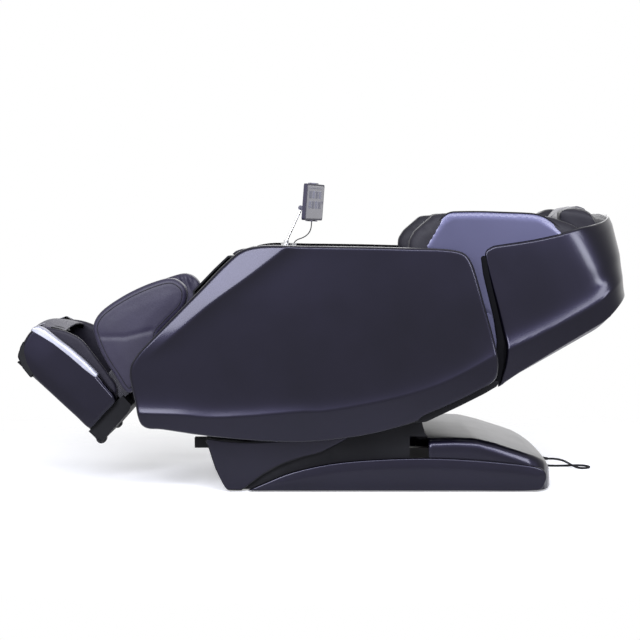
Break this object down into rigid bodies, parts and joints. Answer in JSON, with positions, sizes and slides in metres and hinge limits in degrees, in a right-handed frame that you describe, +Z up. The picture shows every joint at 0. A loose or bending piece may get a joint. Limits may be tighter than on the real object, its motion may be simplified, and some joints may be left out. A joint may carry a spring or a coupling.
{
  "type": "massage chair",
  "caption": "Reclining full-body massage chair in its lying position: curved side panels on a low base, a winged back, a calf and foot rest, and a tablet on one armrest.",
  "frame": {"origin": "on the floor under the middle of the chair, centred over its length and width", "axes": "+X towards the head end, +Y towards the sitter's right, +Z up"},
  "size_m": [1.8602, 0.8065, 0.9354],
  "materials": {
    "paint": "metallic plum paint under clear coat",
    "dark_plastic": "fine grained",
    "hide": "grained synthetic leather",
    "frame_steel": "black powder coat",
    "bright_steel": "ground bar",
    "drive_housing": "moulded",
    "silver_plastic": "silver lacquer",
    "roller_plastic": "moulded",
    "switch_red": "moulded",
    "rubber": "matt"
  },
  "bodies": {
    "base": {"base_frame": "frame_steel", "base_column": "dark_plastic", "base_dome": "paint", "base_side_left": "paint", "base_side_right": "paint", "base_feet": "rubber", "tilt_actuator": "drive_housing", "stop_blocks": "rubber", "power_panel": "dark_plastic", "cord_gland": "rubber", "power_cord": "rubber", "cord_coil": "rubber", "power_plug": "rubber"},
    "transport_wheels": {"transport_wheels": "roller_plastic"},
    "power_switch": {"power_switch": "switch_red"},
    "tilt_rod": {"tilt_rod": "bright_steel"},
    "chassis": {"seat_frame": "frame_steel", "side_panel_left": "paint", "side_panel_right": "paint", "side_liners": "dark_plastic", "arm_shell_left": "dark_plastic", "arm_shell_right": "dark_plastic", "arm_pad_left": "hide", "arm_pad_right": "hide", "seat_cushion": "hide", "under_tray": "dark_plastic", "control_box": "dark_plastic", "air_pump": "dark_plastic", "back_actuator": "drive_housing", "leg_actuator": "drive_housing", "pivot_shafts": "bright_steel"},
    "back_rod": {"back_rod": "bright_steel"},
    "leg_rod": {"leg_rod": "bright_steel"},
    "tablet_arm": {"tablet_stand": "bright_steel", "tablet_cable": "rubber"},
    "tablet": {"tablet_case": "dark_plastic", "tablet_cradle": "silver_plastic"},
    "backrest": {"back_frame": "frame_steel", "back_cover": "paint", "back_side_left": "paint", "back_side_right": "paint", "wing_left": "hide", "wing_right": "hide", "back_cushion": "hide", "head_pillow": "hide", "rear_cap": "hide", "guide_rails": "bright_steel"},
    "carriage": {"massage_carriage": "drive_housing"},
    "kneading": {"kneading_rollers": "roller_plastic"},
    "legrest": {"leg_frame": "frame_steel", "calf_pad_left": "hide", "calf_pad_right": "hide", "calf_cushion": "hide"},
    "footrest": {"foot_frame": "dark_plastic", "foot_side_left": "paint", "foot_side_right": "paint", "toe_cap": "paint", "foot_cushion": "hide"},
    "foot_rollers": {"foot_rollers": "roller_plastic"},
    "floor_wheels": {"floor_wheels": "roller_plastic"}
  },
  "joints": [
    {"name": "seat_tilt", "type": "hinge", "parent": "base", "child": "chassis", "pos_m": [-0.24, 0, 0.19], "axis": [0, -1, 0], "range_deg": [0, 12]},
    {"name": "tilt_rod_slide", "type": "slide", "parent": "base", "child": "tilt_rod", "axis": [-0.1564, 0, 0.9877], "range_m": [0, 0.075]},
    {"name": "back_recline", "type": "hinge", "parent": "chassis", "child": "backrest", "pos_m": [0.3, 0, 0.33], "axis": [0, -1, 0], "range_deg": [0, 28]},
    {"name": "back_rod_slide", "type": "slide", "parent": "chassis", "child": "back_rod", "axis": [1, 0, 0], "range_m": [0, 0.043]},
    {"name": "leg_lift", "type": "hinge", "parent": "chassis", "child": "legrest", "pos_m": [-0.43, 0, 0.48], "axis": [0, 1, 0], "range_deg": [-10, 42]},
    {"name": "leg_rod_slide", "type": "slide", "parent": "chassis", "child": "leg_rod", "axis": [-1, 0, 0], "range_m": [-0.0115, 0.0455]},
    {"name": "foot_extend", "type": "slide", "parent": "legrest", "child": "footrest", "axis": [-0.682, 0, -0.7314], "range_m": [0, 0.12]},
    {"name": "foot_roller_spin", "type": "hinge", "parent": "footrest", "child": "foot_rollers", "pos_m": [-0.81591, 0, 0.2861], "axis": [0, 1, 0], "continuous": true},
    {"name": "floor_wheel_spin", "type": "hinge", "parent": "footrest", "child": "floor_wheels", "pos_m": [-0.68991, 0, 0.14263], "axis": [0, 1, 0], "continuous": true},
    {"name": "carriage_travel", "type": "slide", "parent": "backrest", "child": "carriage", "axis": [0.866, 0, 0.5], "range_m": [0, 0.3]},
    {"name": "kneading_spin", "type": "hinge", "parent": "carriage", "child": "kneading", "pos_m": [0.47286, 0, 0.45059], "axis": [0, 1, 0], "continuous": true},
    {"name": "tablet_swivel", "type": "hinge", "parent": "chassis", "child": "tablet_arm", "pos_m": [-0.137, 0.3187, 0.7223], "axis": [0, 0, 1], "range_deg": [-80, 25]},
    {"name": "tablet_tilt", "type": "hinge", "parent": "tablet_arm", "child": "tablet", "pos_m": [-0.085, 0.3187, 0.851], "axis": [0.342, 0.9397, 0], "range_deg": [-15, 20], "deforming": ["tablet_cable"]},
    {"name": "transport_wheel_spin", "type": "hinge", "parent": "base", "child": "transport_wheels", "pos_m": [0.56, 0, 0.029], "axis": [0, 1, 0], "continuous": true},
    {"name": "switch_rock", "type": "hinge", "parent": "base", "child": "power_switch", "pos_m": [0.67415, 0.077, 0.039], "axis": [0, 0, 1], "range_deg": [0, 12]}
  ],
  "couplings": [
    {"joint": "tilt_rod_slide", "follows": "seat_tilt", "m_per_rad": 0.3457},
    {"joint": "back_rod_slide", "follows": "back_recline", "m_per_rad": 0.0857},
    {"joint": "leg_rod_slide", "follows": "leg_lift", "m_per_rad": 0.0597}
  ]
}
